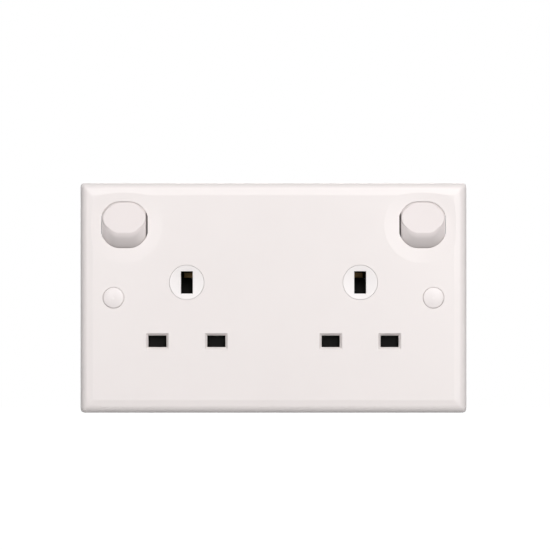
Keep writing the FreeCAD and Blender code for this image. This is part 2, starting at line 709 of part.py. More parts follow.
# Neutral bar: a strip along the bottom, two clips and a riser into the neutral terminal
neutral_bar = new_body("neutral_bar")
add(neutral_bar, "bus", strip_back, strip_front,
    span(f"{neutral_left} - strip_wide/2", f"{neutral_right} + strip_wide/2", f"{bus} - strip_wide/2",
        f"{bus} + strip_wide/2"))
add(neutral_bar, "risers", strip_back, strip_front,
    riser(neutral_left, bus, pins), riser(neutral_right, bus, f"{cage_top} - 1"))
add_pin_clip(neutral_bar, "clip_left", neutral_left)
add_pin_clip(neutral_bar, "clip_right", neutral_right)

# Earth bar: the deepest strip, with two clips that take the earth pins from the sides
earth_bar = new_body("earth_bar")
earth_end = f"({outlet} + clip_mouth/2 + strip_wall)"
add(earth_bar, "bus", earth_back, earth_front,
    span(f"-{earth_end}", earth_end, "earth_rise - strip_wide/2", "earth_rise + strip_wide/2"))
for side, sign in sides:
    section = [(f"{sign}*{outlet} + {aside}", f"-({height})")
        for aside, height in clip(earth_front, earth_back, f"({clip_top} - earth_clip_drop)")]
    add(earth_bar, f"clip_{side}", "earth_rise - earth_clip_high/2", "earth_rise + earth_clip_high/2",
        section, plane="XY_Plane")
bend_low = "(earth_rise + strip_wide/2 + 1)"
bend_high = f"({lane} + 1.5)"
for side, sign in sides:
    section = [
        (f"-{earth_front}", "earth_rise"), (f"-{earth_front}", bend_low), (f"-{strip_front}", bend_high),
        (f"-{strip_front}", f"{cage_top} - 1"), (f"-{strip_back}", f"{cage_top} - 1"),
        (f"-{strip_back}", f"{bend_high} + 0.35"),
        (f"-{earth_back}", f"{bend_low} + 0.35"), (f"-{earth_back}", "earth_rise"),
    ]
    add(earth_bar, f"riser_{side}", f"{sign}*{terminal} - strip_wide/2",
        f"{sign}*{terminal} + strip_wide/2", section, plane="YZ_Plane")

# Terminal cages: short square tubes round the strip ends
terminals = (("line", "-3"), ("earth_left", "-1"), ("earth_right", "1"), ("neutral", "3"))
for name, step in terminals:
    cage = new_body(f"terminal_cage_{name}")
    place(cage, f"{step}*{terminal}")
    add(cage, "tube", cage_low, cage_top,
        span("-cage_wide/2", "cage_wide/2", f"-{cage_front}", f"-{cage_back}"), plane="XY_Plane")
    cut(cage, "way", f"{cage_low} - 1", f"{cage_top} + 1",
        span("-cage_wide/2 + cage_wall", "cage_wide/2 - cage_wall", f"-{cage_front} + cage_wall",
            f"-{cage_back} - cage_wall"),
        plane="XY_Plane")
    cut(cage, "thread", f"{cage_back} - 1", f"{cage_back} + cage_wall + 1",
        ("0", f"{cage_low} + cage_long/2", "screw_width + 0.1"))

# Rear base: a block with a channel or pocket, open to the front, for everything it holds
base = new_body("rear_base")
base_side = f"({outlet} + carrier_wide/2 + 0.3)"
base_low = "(-carrier_low - 1)"
base_top = f"({bar_low} + bar_wide + pocket_gap + base_wall/2)"
slot_half = "(stem_wide/2 + 0.35)"
bay_side = f"({bay} + {slot_half} + bearing_wall + 1)"
bay_low = f"({lane} - strip_wide/2 - base_wall)"
lane_half = "(strip_wide/2 + strip_gap)"
above = f"{deck} + 3"
add(base, "lower_block", base_back, deck,
    rounded(f"-{base_side}", base_side, base_low, lane, "base_round"))
add(base, "upper_block", base_back, deck,
    rounded(f"-{bay_side}", bay_side, bay_low, base_top, "base_round"))
add(base, "ear_arms", screw_seat, deck,
    *[span(f"{sign}*({base_side} - 1)", f"{sign}*{ear_out}", "-ear_drop - holding_boss/2",
        "-ear_drop + holding_boss/2")
      for side, sign in sides])
add(base, "ear_ends", screw_seat, deck,
    *[(f"{sign}*{ear_out}", "-ear_drop", "holding_boss") for side, sign in sides])
cut(base, "bay_backs", f"{base_back} - 1", f"{strip_back} - base_wall",
    *[span(f"{sign}*({bay} - 8.5)", f"{sign}*({bay_side} + 1)", f"{bay_low} - 1",
        f"{base_top} + 1") for side, sign in sides])

# room for the rockers, their bearings and the switch bays
sweep = "(sqrt(pivot_depth^2 + (rocker_high/2)^2) + 0.6)"
cut(base, "rocker_room", f"{pivot} + 0.4", above,
    *[block(f"{sign}*{bay}", "rocker_rise", "rocker_wide + 1.4", f"2*{sweep}") for side, sign in sides])
cheek = f"({slot_half} + bearing_wall/2)"
add(base, "bearing_cheeks", pivot, f"{pivot} + 2.2",
    *[block(f"{sign}*{bay} + {way}*{cheek}", "rocker_rise", "bearing_wall", "trunnion_width + 3.8")
      for side, sign in sides for way in ("-1", "1")])
for side, sign in sides:
    low, high = f"{sign}*{bay} - {slot_half} - bearing_wall", f"{sign}*{bay} + {slot_half} + bearing_wall"
    cut(base, f"bearing_{side}", low, high,
        (f"-{pivot}", "rocker_rise", "trunnion_width + 2*trunnion_gap"), plane="YZ_Plane")
    cut(base, f"bearing_mouth_{side}", low, high,
        span(f"-({pivot} + 3)", f"-{pivot}", "rocker_rise - trunnion_width*0.42",
            "rocker_rise + trunnion_width*0.42"),
        plane="YZ_Plane")
cut(base, "switch_bays", strip_back, above,
    *[span(f"{sign}*{bay} - {slot_half}", f"{sign}*{bay} + {slot_half}", lane,
        f"{bar_low} + bar_wide + pocket_gap")
      for side, sign in sides])

# pockets for the clips and channels for the strips
clip_room = "(clip_mouth + 2*strip_wall + 2*pocket_gap)"
cut(base, "earth_pockets", earth_back, above,
    *[block(f"{sign}*{outlet}", "earth_rise", clip_room, "earth_clip_high + 2*pocket_gap")
        for side, sign in sides])
cut(base, "earth_channel", earth_back, above,
    span(f"-{outlet}", outlet, f"earth_rise - {lane_half}", f"earth_rise + {lane_half}"))
cut(base, "pin_pockets", strip_back, above,
    *[block(*point, "clip_wide + 2*pocket_gap", clip_room) for point in slots])
cut(base, "neutral_channel", strip_back, above,
    span(f"{neutral_left} - {lane_half}", f"{neutral_right} + {lane_half}", f"{bus} - {lane_half}",
        f"{bus} + {lane_half}"))
cut(base, "riser_channels", strip_back, above,
    *[span(f"{across} - {lane_half}", f"{across} + {lane_half}", low, high) for across, low, high in (
        (neutral_left, bus, pins), (live_left, pins, f"{lane} + {lane_half}"),
        (neutral_right, bus, cage_low), (live_right, pins, f"{lane} + {lane_half}"))])
cut(base, "live_lanes", strip_back, above,
    span(f"-{bay} - {lane_half}", live_left, f"{lane} - {lane_half}", f"{lane} + {lane_half}"),
    span(live_right, f"{bay} + {lane_half}", f"{lane} - {lane_half}", f"{lane} + {lane_half}"))
cut(base, "earth_bends", earth_back, above,
    *[span(f"{sign}*{terminal} - {lane_half}", f"{sign}*{terminal} + {lane_half}", "earth_rise",
        f"{bend_high} + 0.8")
      for side, sign in sides])
cut(base, "earth_risers", strip_back, above,
    *[span(f"{sign}*{terminal} - {lane_half}", f"{sign}*{terminal} + {lane_half}", bend_high,
        cage_low) for side, sign in sides])
cut(base, "cage_pockets", cage_back, above,
    *[block(f"{step}*{terminal}", f"({cage_low} + cage_long/2)", "cage_wide + 2*strip_gap",
        "cage_long + 2*strip_gap")
      for name, step in terminals])
bar_room = (f"{bar_low} - pocket_gap", f"{bar_low} + bar_wide + pocket_gap")
cut(base, "bar_channel", bar_back, above, span(f"-{jog_out}", jog_out, *bar_room))
cut(base, "bar_ends", strip_back, above,
    *[span(f"{sign}*({jog_in} - 1)", f"{sign}*{bay}", *bar_room) for side, sign in sides])
cut(base, "tab_channel", strip_back, above,
    span(f"-3*{terminal} - {lane_half}", f"-3*{terminal} + {lane_half}", f"{cage_top} - 1",
        f"{bar_low} + 1"))

# room for the shutter ramps and grooves for the shutter springs
cut(base, "ramp_slots", f"{shutter_front} - {ramp_run} - 0.4", above,
    *[span(f"{sign}*{outlet} - ramp_wide/2 - 0.5", f"{sign}*{outlet} + ramp_wide/2 + 0.5",
           f"{ramp_foot} + shutter_wall - ramp_thick - shutter_travel - 0.6",
           f"{ramp_foot} + {ramp_run} + 0.4")
      for side, sign in sides])
cut(base, "spring_grooves", f"{coil_level} - coil_width/2 - 0.2", above,
    *[span(f"{sign}*{outlet} - coil_width/2 - 0.2", f"{sign}*{outlet} + coil_width/2 + 0.2", coil_low,
        f"{window_high} + 0.3")
      for side, sign in sides])

# wire ways from the top, screwdriver holes, holding screw holes and cored-out rear
cut(base, "wire_ways", f"{cage_top} - 0.5", f"{base_top} + 1",
    *[span(f"{step}*{terminal} - wire_way/2", f"{step}*{terminal} + wire_way/2", f"-{strip_back}",
        f"-{cage_back} - cage_wall")
      for name, step in terminals], plane="XY_Plane")
cut(base, "driver_holes", f"{base_back} - 1", f"{cage_back} + 1",
    *[(f"{step}*{terminal}", f"{cage_low} + cage_long/2", "screw_head + 0.5")
        for name, step in terminals])
cut(base, "holding_holes", f"{base_back} - 1", f"{deck} + 1",
    *[(*point, "holding_screw + 0.3") for point in holding])
cut(base, "holding_heads", f"{base_back} - 1", screw_seat,
    *[(*point, "holding_head + 0.6") for point in holding])
core_low, core_high = f"{bus} + {lane_half} + 1.6", f"earth_rise - {lane_half} - 1.8"
cut(base, "centre_core", f"{base_back} - 1", f"{deck} - 2",
    span(f"{live_left} + {lane_half} + 2", f"{neutral_right} - clip_wide/2 - pocket_gap - 1.6", core_low,
        core_high))
cut(base, "outlet_cores", f"{base_back} - 1", f"{shutter_front} - {ramp_run} - 2.2",
    *[block(f"{sign}*{outlet}", f"(({core_low}) + earth_rise - earth_clip_high/2 - pocket_gap - 1.6)/2",
        "12",
            f"earth_rise - earth_clip_high/2 - pocket_gap - 1.6 - ({core_low})") for side, sign in sides])


def make_screw(label, right, up, seat, shank, reach, head, thick, cross):
    """A screw along Y with its head to the rear, resting at the seat height."""
    screw = new_body(label, own_file=False)
    place(screw, right, up, seat)
    sketch = new_sketch(screw, "XY_Plane", "screw_section")
    outline(sketch, [("0", f"-({reach})"), (f"({shank})/2", f"-({reach})"), (f"({shank})/2", "0"),
                     (f"({head})/2", "0"), (f"({head})/2", thick), ("0", thick)])
    turned(screw, "Revolution", "turned_screw", sketch, "V_Axis")
    cut(screw, "slot", f"-{thick} - 1", f"-{thick} + 0.9", block("0", "0", f"({head})*{cross[0]}", "0.9"))
    if len(cross) > 1:
        cut(screw, "cross_slot", f"-{thick} - 1", f"-{thick} + 0.9",
            block("0", "0", "0.9", f"({head})*{cross[1]}"))
    return screw


# Terminal screws and the screws that hold base and faceplate together
terminal_screws = doc.addObject("Part::Compound", "terminal_screws")
terminal_screws.Links = [
    make_screw(f"terminal_screw_{name}", f"{step}*{terminal}", f"{cage_low} + cage_long/2",
        f"{cage_back} - 0.3",
               "screw_width", "cage_wall + 0.9", "screw_head", "1.7", ("1.2",))
    for name, step in terminals]
holding_screws = doc.addObject("Part::Compound", "holding_screws")
holding_screws.Links = [
    make_screw(f"holding_screw_{number}", *point, screw_seat, "holding_screw - 0.2",
        f"{inner_face} - 1 - {screw_seat}",
               "holding_head", "2.2", ("0.62", "0.62"))
    for number, point in enumerate(holding, start=1)]
pieces += [terminal_screws, holding_screws]

# Check every object and write one file for each piece
doc.recompute()
faults = [item.Name for item in doc.Objects if "Invalid" in item.State or "Error" in item.State]
faults += [piece.Label for piece in pieces if not piece.Shape.isValid() or not piece.Shape.Solids]
if faults:
    raise RuntimeError("not sound: " + ", ".join(faults))
os.makedirs("parts", exist_ok=True)
for piece in pieces:
    piece.Shape.exportStep(f"parts/{piece.Label}.step")
print(len(pieces), "pieces written")
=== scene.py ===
import json
import math

import bmesh
import bpy
import numpy as np
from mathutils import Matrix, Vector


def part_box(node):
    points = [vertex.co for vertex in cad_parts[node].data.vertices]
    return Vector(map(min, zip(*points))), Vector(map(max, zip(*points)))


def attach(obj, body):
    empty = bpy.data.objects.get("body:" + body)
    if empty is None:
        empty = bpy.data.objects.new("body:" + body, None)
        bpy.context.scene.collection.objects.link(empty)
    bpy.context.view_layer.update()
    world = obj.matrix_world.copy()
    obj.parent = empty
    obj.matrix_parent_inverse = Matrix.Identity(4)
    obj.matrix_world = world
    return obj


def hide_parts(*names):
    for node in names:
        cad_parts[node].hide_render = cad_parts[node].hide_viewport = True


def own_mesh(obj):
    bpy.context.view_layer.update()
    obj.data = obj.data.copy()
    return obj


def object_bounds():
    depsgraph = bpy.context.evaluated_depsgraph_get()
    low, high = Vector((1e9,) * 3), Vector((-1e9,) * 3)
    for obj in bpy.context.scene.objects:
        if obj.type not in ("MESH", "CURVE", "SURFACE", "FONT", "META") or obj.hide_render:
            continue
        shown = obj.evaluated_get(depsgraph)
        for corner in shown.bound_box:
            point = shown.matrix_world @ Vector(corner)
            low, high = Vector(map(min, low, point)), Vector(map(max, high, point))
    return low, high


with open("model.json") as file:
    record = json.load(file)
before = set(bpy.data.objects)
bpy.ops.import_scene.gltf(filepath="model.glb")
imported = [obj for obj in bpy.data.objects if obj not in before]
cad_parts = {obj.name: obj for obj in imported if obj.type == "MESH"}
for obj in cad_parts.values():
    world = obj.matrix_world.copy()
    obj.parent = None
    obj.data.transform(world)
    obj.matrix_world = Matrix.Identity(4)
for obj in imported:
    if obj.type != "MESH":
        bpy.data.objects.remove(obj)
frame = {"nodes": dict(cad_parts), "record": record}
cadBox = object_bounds()
scene = bpy.context.scene
mm = 0.001
sides = ("left", "right")
print("frame loaded:", len(frame["nodes"]), "nodes")


# node trees

noiseSpan = (0.3, 0.7)  # most values of a noise lie between these


def addNode(material, kind, **values):
    node = material.node_tree.nodes.new("ShaderNode" + kind)
    for key, given in values.items():
        if key in node.inputs:
            node.inputs[key].default_value = given
        else:
            setattr(node, key, given)
    return node


def feed(material, given, socket):
    # another node's output is linked to the socket, a plain value is set on it
    if isinstance(given, bpy.types.NodeSocket):
        material.node_tree.links.new(given, socket)
    else:
        socket.default_value = given


def placeOn(material):
    # the piece's own coordinates, in metres
    return addNode(material, "TexCoord").outputs["Object"]


def axesOn(material):
    # the same, one output for each of X, Y and Z
    parts = addNode(material, "SeparateXYZ")
    feed(material, placeOn(material), parts.inputs[0])
    return parts.outputs


def mathOf(material, operation, *operands, kind="Math"):
    node = addNode(material, kind, operation=operation)
    for given, socket in zip(operands, node.inputs):
        feed(material, given, socket)
    return node.outputs["Value"]


def rangeOf(material, amount, start, end, low=0.0, high=1.0, curve="LINEAR"):
    # start to end carried over to low to high, and held beyond them
    limits = {"From Min": start, "From Max": end, "To Min": low, "To Max": high}
    node = addNode(material, "MapRange", interpolation_type=curve, **limits)
    feed(material, amount, node.inputs["Value"])
    return node.outputs["Result"]


def mixOf(material, amount, first, second, blend="MIX"):
    node = addNode(material, "MixRGB", blend_type=blend)
    for key, given in (("Fac", amount), ("Color1", first), ("Color2", second)):
        feed(material, given, node.inputs[key])
    return node.outputs["Color"]


def noiseOn(material, scale, stretch=(1, 1, 1), detail=2.0, roughness=0.5):
    # noise over the piece's own coordinates; stretch slows it along an axis
    mapping = addNode(material, "Mapping", Scale=stretch)
    feed(material, placeOn(material), mapping.inputs["Vector"])
    noise = addNode(material, "TexNoise", Scale=scale, Detail=detail, Roughness=roughness)
    feed(material, mapping.outputs["Vector"], noise.inputs["Vector"])
    return noise.outputs["Fac"]


def blendOf(material, amount, low, high, span=noiseSpan):
    # two colours laid over a noise, low where it is weak and high where it is strong
    ramp = addNode(material, "ValToRGB")
    for stop, position, colour in zip(ramp.color_ramp.elements, span, (low, high)):
        stop.position = position
        stop.color = (*colour, 1)
    feed(material, amount, ramp.inputs["Fac"])
    return ramp.outputs["Color"]


def newFinish(name, **sockets):
    # a Principled shader with the values that are the same all over set on its own sockets
    material = bpy.data.materials.new(name)
    material.use_nodes = True
    shader = material.node_tree.nodes["Principled BSDF"]
    for key, given in sockets.items():
        shader.inputs[key].default_value = given
    return material, shader


def roughen(material, shader, amount, limits):
    # a noise carried over to the range of roughness
    feed(material, rangeOf(material, amount, *noiseSpan, *limits), shader.inputs["Roughness"])


def bumpOn(material, shader, edge, *layers):
    # normals averaged round an edge, so that it catches light as if it had this radius; on them layers of
    # (height, depth in metres), each laid on the one before
    soft = addNode(material, "Bevel", samples=8)
    feed(material, edge, soft.inputs["Radius"])
    normal = soft.outputs["Normal"]
    for height, depth in layers:
        bump = addNode(material, "Bump", Strength=1.0, Distance=depth)
        feed(material, height, bump.inputs["Height"])
        feed(material, normal, bump.inputs["Normal"])
        normal = bump.outputs["Normal"]
    feed(material, normal, shader.inputs["Normal"])


def tinted(colour, share):
    return tuple(channel * share for channel in colour)


# finishes

whiteMoulding = dict(
    plate=dict(colour=(0.850, 0.789, 0.772), roughness=(0.285, 0.335), gloss=0.5),
    cap=dict(colour=(0.852, 0.790, 0.777), roughness=(0.32, 0.40), gloss=0.5),
    rocker=dict(colour=(0.815, 0.745, 0.732), roughness=(0.48, 0.56), gloss=0.35),
    insert=dict(colour=(0.865, 0.818, 0.808), roughness=(0.30, 0.40), gloss=0.5),
    tone=dict(scale=22, detail=3), drift=0.985, sheen=dict(scale=95, detail=4),
    peel=dict(scale=260, detail=1), peelDepth=2.2e-6,
    grain=dict(scale=5200, detail=2), grainDepth=1.6e-6,
    edge=0.12 * mm,
    corner=dict(across=(0.0645, 0.0695), up=(0.035, 0.040), edge=2.2 * mm),
    # gap: where the walls of the rocker openings get painted shade, and that shade's dark colour
    gap=dict(middle=(56.2 * mm, 27.5 * mm), reach=11 * mm, start=-8.08 * mm, end=-7.8 * mm,
             colour=(0.11, 0.10, 0.095)),
    # flank: where the rockers' lower sides get painted shade, and the share of colour it keeps
    flank=dict(tilt=math.radians(14.2), start=0.15 * mm, end=1.5 * mm,
               inner=3.5 * mm, outer=7.8 * mm, share=0.83),
)


def cornerRadius(material):
    # the plate's edge radius: small over most of it, larger where it is both far across and far up, so that
    # the slopes of its border run into each other at the corners
    corner = whiteMoulding["corner"]
    axes = axesOn(material)
    near = []
    for axis, limits in (("X", corner["across"]), ("Z", corner["up"])):
        size = mathOf(material, "ABSOLUTE", axes[axis])
        near.append(rangeOf(material, size, *limits, curve="SMOOTHSTEP"))
    both = mathOf(material, "MULTIPLY", *near)
    return mathOf(material, "MULTIPLY_ADD", both, corner["edge"], whiteMoulding["edge"])


def gapPaintedShade(material, colour):
    # the walls of the rocker openings, near a rocker's middle and below the face, darkened: painted shade in
    # the gap round each rocker
    gap = whiteMoulding["gap"]
    axes = axesOn(material)
    place = addNode(material, "CombineXYZ")
    feed(material, mathOf(material, "ABSOLUTE", axes["X"]), place.inputs["X"])
    feed(material, axes["Z"], place.inputs["Z"])
    middle = (gap["middle"][0], 0, gap["middle"][1])
    away = mathOf(material, "DISTANCE", place.outputs[0], middle, kind="VectorMath")
    near = mathOf(material, "LESS_THAN", away, gap["reach"])
    depth = rangeOf(material, axes["Y"], gap["start"], gap["end"])
    share = mathOf(material, "MULTIPLY", depth, near)
    return mixOf(material, share, colour, (*gap["colour"], 1))


def flankPaintedShade(material, colour):
    # a rocker's lower side, below the plane of its face and away from its ends, made greyer: painted shade on
    # the downward-facing flank
    flank = whiteMoulding["flank"]
    outward = np.array([0, -math.cos(flank["tilt"]), math.sin(flank["tilt"])])
    mesh = frame["nodes"]["rocker_left"].data
    corners = np.empty(len(mesh.vertices) * 3)
    mesh.vertices.foreach_get("co", corners)
    face = (corners.reshape(-1, 3) @ outward).max()
    height = mathOf(material, "DOT_PRODUCT", placeOn(material), outward, kind="VectorMath")
    depth = rangeOf(material, height, face - flank["end"], face - flank["start"], curve="SMOOTHSTEP")
    across = mathOf(material, "ABSOLUTE", axesOn(material)["X"])
    fromMiddle = mathOf(material, "SUBTRACT", across, whiteMoulding["gap"]["middle"][0])
    spread = mathOf(material, "ABSOLUTE", fromMiddle)
    ends = rangeOf(material, spread, flank["inner"], flank["outer"], curve="SMOOTHSTEP")
    unshaded = mathOf(material, "MAXIMUM", depth, ends)
    grey = mixOf(material, 1.0, colour, (*tinted((1, 1, 1), flank["share"]), 1), blend="MULTIPLY")
    return mixOf(material, unshaded, grey, colour)


def whiteFinish(kind):
    # moulded white: slow drift of tone, orange peel a few millimetres wide and a fine grain
    look = whiteMoulding[kind]
    material, shader = newFinish(f"{kind}_white", IOR=1.5)
    shader.inputs["Specular IOR Level"].default_value = look["gloss"]
    tone = noiseOn(material, **whiteMoulding["tone"])
    colour = blendOf(material, tone, tinted(look["colour"], whiteMoulding["drift"]), look["colour"])
    edge = whiteMoulding["edge"]
    if kind == "plate":
        # painted shade on the walls of the rocker openings
        colour = gapPaintedShade(material, colour)
        edge = cornerRadius(material)
    if kind == "rocker":
        # painted shade on the rocker's lower flank
        colour = flankPaintedShade(material, colour)
    feed(material, colour, shader.inputs["Base Color"])
    roughen(material, shader, noiseOn(material, **whiteMoulding["sheen"]), look["roughness"])
    bumpOn(material, shader, edge,
           (noiseOn(material, **whiteMoulding["peel"]), whiteMoulding["peelDepth"]),
           (noiseOn(material, **whiteMoulding["grain"]), whiteMoulding["grainDepth"]))
    return material


darkMoulding = dict(
    shutter=dict(low=(0.0055, 0.0053, 0.005), high=(0.009, 0.0086, 0.008), roughness=(0.62, 0.74),
                 gloss=0.05, depth=3e-6, edge=0.08 * mm),
    base=dict(low=(0.040, 0.041, 0.044), high=(0.062, 0.062, 0.065), roughness=(0.42, 0.6),
              gloss=0.4, depth=6e-6, edge=0.18 * mm),
    cloud=dict(scale=48, stretch=(1, 1, 0.45), detail=6, roughness=0.62),
    speck=dict(scale=2600, detail=1), speckSpan=(0.66, 0.72), speckGain=1.6, speckShare=0.6,
    sheen=dict(scale=130, detail=5), swell=dict(scale=180, detail=2),
    grain=dict(scale=3400, detail=3), grainShare=0.7,
)


def darkFinish(kind):
    # filled dark moulding: flow clouds, pale specks of filler and a dry grain
    look = darkMoulding[kind]
    material, shader = newFinish(f"{kind}_dark", IOR=1.5)
    shader.inputs["Specular IOR Level"].default_value = look["gloss"]
    cloud = noiseOn(material, **darkMoulding["cloud"])
    base = blendOf(material, cloud, look["low"], look["high"])
    pale = tinted(look["high"], darkMoulding["speckGain"])
    dots = noiseOn(material, **darkMoulding["speck"])
    speck = blendOf(material, dots, (0, 0, 0), pale, darkMoulding["speckSpan"])
    colour = mixOf(material, darkMoulding["speckShare"], base, speck, blend="SCREEN")
    feed(material, colour, shader.inputs["Base Color"])
    roughen(material, shader, noiseOn(material, **darkMoulding["sheen"]), look["roughness"])
    bumpOn(material, shader, look["edge"],
           (noiseOn(material, **darkMoulding["swell"]), look["depth"]),
           (noiseOn(material, **darkMoulding["grain"]), look["depth"] * darkMoulding["grainShare"]))
    return material


metals = dict(
    strip=dict(low=(0.20, 0.12, 0.055), high=(0.36, 0.235, 0.11), roughness=(0.34, 0.52),
               lines=dict(scale=900, stretch=(0.08, 1, 1), detail=4), depth=1.5e-6),
    cage=dict(low=(0.60, 0.43, 0.19), high=(0.78, 0.60, 0.31), roughness=(0.28, 0.40),
              lines=dict(scale=1100, stretch=(1, 1, 0.06), detail=4), depth=1.5e-6),
    screw=dict(low=(0.52, 0.50, 0.45), high=(0.68, 0.66, 0.60), roughness=(0.28, 0.44),
               lines=dict(scale=1500, stretch=(1, 0.3, 1), detail=4), depth=1e-6),
    spring=dict(low=(0.40, 0.40, 0.41), high=(0.60, 0.60, 0.61), roughness=(0.28, 0.38),
                lines=dict(scale=1800, detail=4), depth=8e-7),
    tarnish=dict(scale=120, detail=6, roughness=0.6), edge=0.06 * mm,
)


def metalFinish(kind):
    # drawn or rolled metal: tarnish in clouds, fine lines along the rolling and a roughness that follows them
    look = metals[kind]
    material, shader = newFinish(f"{kind}_metal", Metallic=1.0)
    tarnish = noiseOn(material, **metals["tarnish"])
    feed(material, blendOf(material, tarnish, look["low"], look["high"]), shader.inputs["Base Color"])
    lines = noiseOn(material, **look["lines"])
    roughen(material, shader, lines, look["roughness"])
    bumpOn(material, shader, metals["edge"], (lines, look["depth"]))
    return material


nylon = dict(low=(0.62, 0.58, 0.49), high=(0.74, 0.71, 0.62), roughness=(0.4, 0.5), edge=0.1 * mm,
             cloud=dict(scale=300, detail=4), grain=dict(scale=2400), depth=1e-6)


def nylonFinish():
    # natural nylon: milky, a little darker in clouds
    material, shader = newFinish("plunger_nylon_milky", IOR=1.53)
    cloud = noiseOn(material, **nylon["cloud"])
    feed(material, blendOf(material, cloud, nylon["low"], nylon["high"]), shader.inputs["Base Color"])
    roughen(material, shader, cloud, nylon["roughness"])
    bumpOn(material, shader, nylon["edge"], (noiseOn(material, **nylon["grain"]), nylon["depth"]))
    return material


finishes = dict(
    plate_white=whiteFinish("plate"), cap_white=whiteFinish("cap"), rocker_white=whiteFinish("rocker"),
    insert_white=whiteFinish("insert"), shutter_black=darkFinish("shutter"), base_grey=darkFinish("base"),
    contact_brass=metalFinish("strip"), cage_brass=metalFinish("cage"), screw_steel=metalFinish("screw"),
    spring_steel=metalFinish("spring"), plunger_nylon=nylonFinish(),
)
print("finishes made:", len(finishes))


# pieces

slotOf = {part["node"]: part["material_slot"] for part in frame["record"]["subparts"]}
bodyOf = {node: body for body, held in frame["record"]["behaviour"]["bodies"].items() for node in held}


def addPiece(name, mesh, node):
    # the piece stands for a node: same body, finished in the material of the node's slot
    mesh.materials.clear()
    mesh.materials.append(finishes[slotOf[node]])
    piece = bpy.data.objects.new(name, mesh)
    scene.collection.objects.link(piece)
    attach(piece, bodyOf[node])
    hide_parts(node)
    return piece


def smoothAll(mesh):
    mesh.polygons.foreach_set("use_smooth", np.ones(len(mesh.polygons), dtype=bool))


def gridMesh(name, points, loopColumns=False, closeEnds=False):
    # quads between neighbouring points of a grid; looped columns make a tube, and its end rings become faces
    rows, columns = points.shape[:2]
    index = np.arange(rows * columns).reshape(rows, columns)
    rings = np.hstack([index, index[:, :1]]) if loopColumns else index
    quads = np.stack([rings[:-1, :-1], rings[:-1, 1:], rings[1:, 1:], rings[1:, :-1]], axis=-1)
    faces = quads.reshape(-1, 4).tolist()
    if closeEnds:
        faces += [index[0, ::-1].tolist(), index[-1].tolist()]
    mesh = bpy.data.meshes.new(name)
    mesh.from_pydata(points.reshape(-1, 3).tolist(), [], faces)
    smoothAll(mesh)
    return mesh


# rockers

rockerCap = dict(face=7.95 * mm, keep=0.4, start=-5.0 * mm, end=-6.8 * mm,
                 weld=0.002 * mm, sharp=math.radians(32))


def mergedCopy(node, look):
    # the node's triangles with their shared corners joined, smooth except over sharp turns
    mesh = bpy.data.meshes.new(node)
    work = bmesh.new()
    work.from_mesh(frame["nodes"][node].data)
    bmesh.ops.remove_doubles(work, verts=work.verts, dist=look["weld"])
    work.to_mesh(mesh)
    work.free()
    if "custom_normal" in mesh.attributes:
        mesh.attributes.remove(mesh.attributes["custom_normal"])
    smoothAll(mesh)
    mesh.set_sharp_from_angle(angle=look["sharp"])
    return mesh


def drawnIn(points, middle, look):
    # what stands outside the face's width keeps a share of its reach beyond it, from the wall of the plate
    # forwards, on the side towards the plate's middle, where the dark base closes the gap behind
    reach = points[:, 0] - middle
    inner = reach * middle < 0
    ahead = np.clip((points[:, 1] - look["start"]) / (look["end"] - look["start"]), 0, 1)
    share = ahead * ahead * (3 - 2 * ahead)
    over = np.maximum(np.abs(reach) - look["face"], 0) * inner
    points[:, 0] = middle + np.sign(reach) * (np.abs(reach) - over * (1 - look["keep"]) * share)
    return points


for side in sides:
    node = f"rocker_{side}"
    mesh = mergedCopy(node, rockerCap)
    low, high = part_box(node)
    corners = np.empty(len(mesh.vertices) * 3)
    mesh.vertices.foreach_get("co", corners)
    moved = drawnIn(corners.reshape(-1, 3), (low[0] + high[0]) / 2, rockerCap)
    mesh.vertices.foreach_set("co", moved.ravel())
    mesh.update()
    rocker = addPiece(f"rockerCap_{side}", mesh, node)
    rocker.modifiers.new("evenShade", "WEIGHTED_NORMAL").keep_sharp = True
print("rockers drawn in")


# springs

shutterCoil = dict(wire=0.5 * mm, across=4.0 * mm, liveTurns=6, endTurns=1.0, travel=6.0 * mm,
                   stepsPerTurn=40, wireSides=14)


def coilPoints(look, foot, along, length):
    # a wire circle carried along a helix: end turns climb one wire a turn, live turns share the rest
    ends = look["endTurns"]
    turns = look["liveTurns"] + 2 * ends
    turn = np.linspace(0, turns, int(turns * look["stepsPerTurn"]) + 1)
    rise = length - look["wire"]
    flat = ends * look["wire"]
    climb = np.interp(turn, [0, ends, turns - ends, turns], [0, flat, rise - flat, rise])
    along = np.asarray(along) / np.linalg.norm(along)
    first = np.cross(along, (1, 0, 0))
    first = first / np.linalg.norm(first)
    second = np.cross(along, first)
    angle = 2 * np.pi * turn[:, None]
    outward = np.cos(angle) * first + np.sin(angle) * second
    path = foot + along * (climb[:, None] + look["wire"] / 2) + outward * (look["across"] - look["wire"]) / 2
    heading = np.gradient(path, axis=0)
    heading = heading / np.linalg.norm(heading, axis=1, keepdims=True)
    across = np.cross(heading, outward)
    around = np.linspace(0, 2 * np.pi, look["wireSides"], endpoint=False)[None, :, None]
    circle = np.cos(around) * outward[:, None] + np.sin(around) * across[:, None]
    return path[:, None] + circle * look["wire"] / 2


for side in sides:
    node = f"shutter_spring_{side}"
    low, high = (np.array(corner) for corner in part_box(node))
    foot = np.array([(low[0] + high[0]) / 2, (low[1] + high[1]) / 2, low[2]])
    length = high[2] - low[2]
    points = coilPoints(shutterCoil, foot, (0, 0, 1), length)
    spring = addPiece(f"shutterCoil_{side}", gridMesh(node, points, loopColumns=True, closeEnds=True), node)
    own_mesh(spring)
print("springs wound")


# carried-over nodes

for node, thing in frame["nodes"].items():
    thing.data.materials[0] = finishes[slotOf[node]]
print("finishes laid on the nodes")


# stage, light and camera

